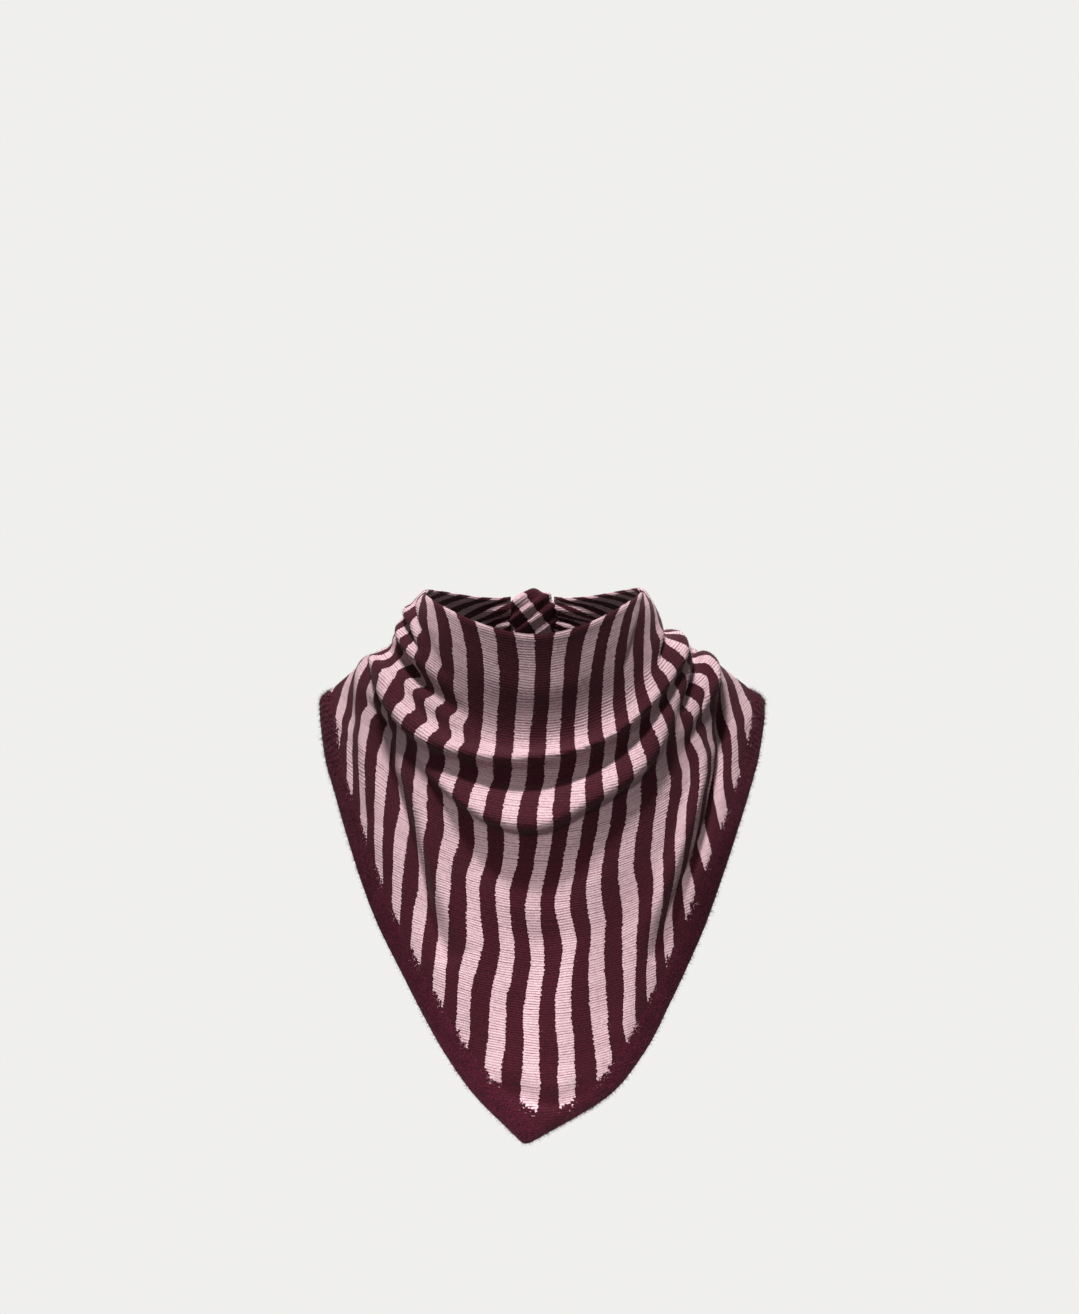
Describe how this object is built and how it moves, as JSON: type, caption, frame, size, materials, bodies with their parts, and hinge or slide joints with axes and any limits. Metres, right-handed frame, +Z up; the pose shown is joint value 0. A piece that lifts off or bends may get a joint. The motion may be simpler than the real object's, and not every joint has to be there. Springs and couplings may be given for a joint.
{
  "type": "cashmere scarf",
  "caption": "Triangular striped knitted cashmere scarf in its worn shape: point forward over the chest, collar round the neck, ends tied behind the nape.",
  "frame": {"origin": "in the middle of the neck, at the height where the neck meets the shoulders", "axes": "+Z up, the front with the hanging point faces -Y, the wearer's left is +X"},
  "size_m": [0.2427, 0.2156, 0.287],
  "materials": {
    "striped_knit": "soft brushed knit in two colours, pale pink and wine red stripes",
    "border_knit": "fuzzy brushed knit, dark wine red"
  },
  "bodies": {
    "root": {"collar": "striped_knit", "bib": "striped_knit", "shoulder_left": "striped_knit", "shoulder_right": "striped_knit", "nape_left": "striped_knit", "nape_right": "striped_knit", "border_left": "border_knit", "border_right": "border_knit", "knot": "striped_knit", "end_left": "striped_knit", "end_right": "striped_knit"}
  },
  "joints": []
}
